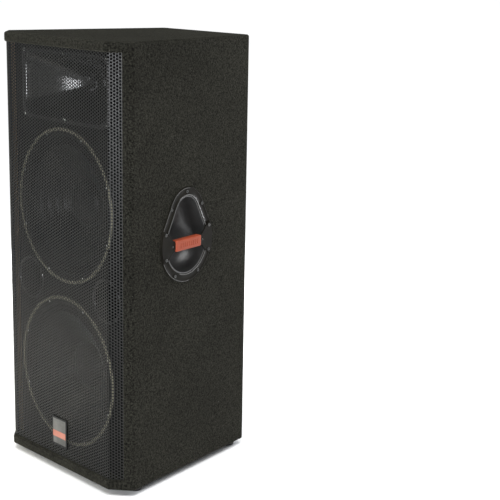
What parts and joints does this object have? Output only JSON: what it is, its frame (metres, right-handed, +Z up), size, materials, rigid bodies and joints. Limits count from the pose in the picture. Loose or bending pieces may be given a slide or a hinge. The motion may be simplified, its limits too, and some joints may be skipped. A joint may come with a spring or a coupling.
{
  "type": "loudspeaker cabinet",
  "caption": "Tall carpeted trapezoid loudspeaker cabinet with a bent perforated grille, recessed side handles, a recessed rear input plate and rubber feet.",
  "frame": {"origin": "on the floor under the middle of the cabinet's bounding box, at the underside of the feet", "axes": "+Z up, -Y out of the grille, +X to the right for someone facing the grille"},
  "size_m": [0.51, 0.4898, 1.099],
  "materials": {
    "carpet": "short-pile needled felt, matt",
    "plywood": "plain panel under the felt",
    "grille_steel": "semi-matt black powder coat on perforated sheet",
    "basket_steel": "black coating",
    "paper_cone": "black pulp, matt",
    "olive_gasket": "pressed fibre, matt",
    "surround_cloth": "doped cloth",
    "spider_cloth": "resin-dipped cloth",
    "ferrite": "ground ferrite",
    "zinc_steel": "zinc plated",
    "copper": null,
    "horn_plastic": "moulded, half gloss",
    "handle_plastic": "moulded, fine grain, satin",
    "orange_rubber": "soft grip, satin",
    "black_rubber": "matt",
    "label_print": "screen-printed sheet",
    "circuit_board": "solder resist",
    "lead_vinyl": "flexible vinyl",
    "badge_metal": "satin plate in a black frame",
    "titanium": null
  },
  "bodies": {
    "cabinet": {"carpet_cover": "carpet", "top_panel": "plywood", "bottom_panel": "plywood", "left_side_panel": "plywood", "right_side_panel": "plywood", "rear_panel": "plywood", "front_baffle": "plywood", "middle_brace": "plywood", "front_grille": "grille_steel", "badge": "badge_metal", "foot_front_left": "black_rubber", "foot_front_right": "black_rubber", "foot_rear_left": "black_rubber", "foot_rear_right": "black_rubber", "upper_basket": "basket_steel", "upper_gasket": "olive_gasket", "upper_surround": "surround_cloth", "upper_spider": "spider_cloth", "upper_top_plate": "zinc_steel", "upper_back_plate": "zinc_steel", "upper_magnet": "ferrite", "lower_basket": "basket_steel", "lower_gasket": "olive_gasket", "lower_surround": "surround_cloth", "lower_spider": "spider_cloth", "lower_top_plate": "zinc_steel", "lower_back_plate": "zinc_steel", "lower_magnet": "ferrite", "horn_flare": "horn_plastic", "left_port_tube": "horn_plastic", "right_port_tube": "horn_plastic", "input_dish": "horn_plastic", "speaker_socket_1": "horn_plastic", "speaker_socket_2": "horn_plastic", "jack_socket_1": "zinc_steel", "jack_socket_2": "zinc_steel", "hf_driver_housing": "basket_steel", "hf_rear_cap": "basket_steel", "hf_magnet": "ferrite", "left_handle_cup": "handle_plastic", "left_handle_bar": "handle_plastic", "left_grip_sleeve": "orange_rubber", "right_handle_cup": "handle_plastic", "right_handle_bar": "handle_plastic", "right_grip_sleeve": "orange_rubber", "input_label": "label_print", "crossover_board": "circuit_board", "crossover_inductor": "copper", "crossover_capacitor": "lead_vinyl", "upper_woofer_lead": "lead_vinyl", "lower_woofer_lead": "lead_vinyl", "horn_lead": "lead_vinyl", "input_lead": "lead_vinyl"},
    "upper_woofer_moving": {"upper_cone": "paper_cone", "upper_dust_cap": "paper_cone", "upper_voice_coil": "copper"},
    "lower_woofer_moving": {"lower_cone": "paper_cone", "lower_dust_cap": "paper_cone", "lower_voice_coil": "copper"},
    "horn_driver_moving": {"hf_diaphragm": "titanium"}
  },
  "joints": [
    {"name": "upper_woofer_travel", "type": "slide", "parent": "cabinet", "child": "upper_woofer_moving", "axis": [0, -1, 0], "range_m": [-0.008, 0.008], "stiffness_N_per_m": 5700, "deforming": ["upper_surround", "upper_spider"]},
    {"name": "lower_woofer_travel", "type": "slide", "parent": "cabinet", "child": "lower_woofer_moving", "axis": [0, -1, 0], "range_m": [-0.008, 0.008], "stiffness_N_per_m": 5700, "deforming": ["lower_surround", "lower_spider"]},
    {"name": "horn_diaphragm_travel", "type": "slide", "parent": "cabinet", "child": "horn_driver_moving", "axis": [0, -1, 0], "range_m": [-0.0003, 0.0003], "stiffness_N_per_m": 8000}
  ]
}
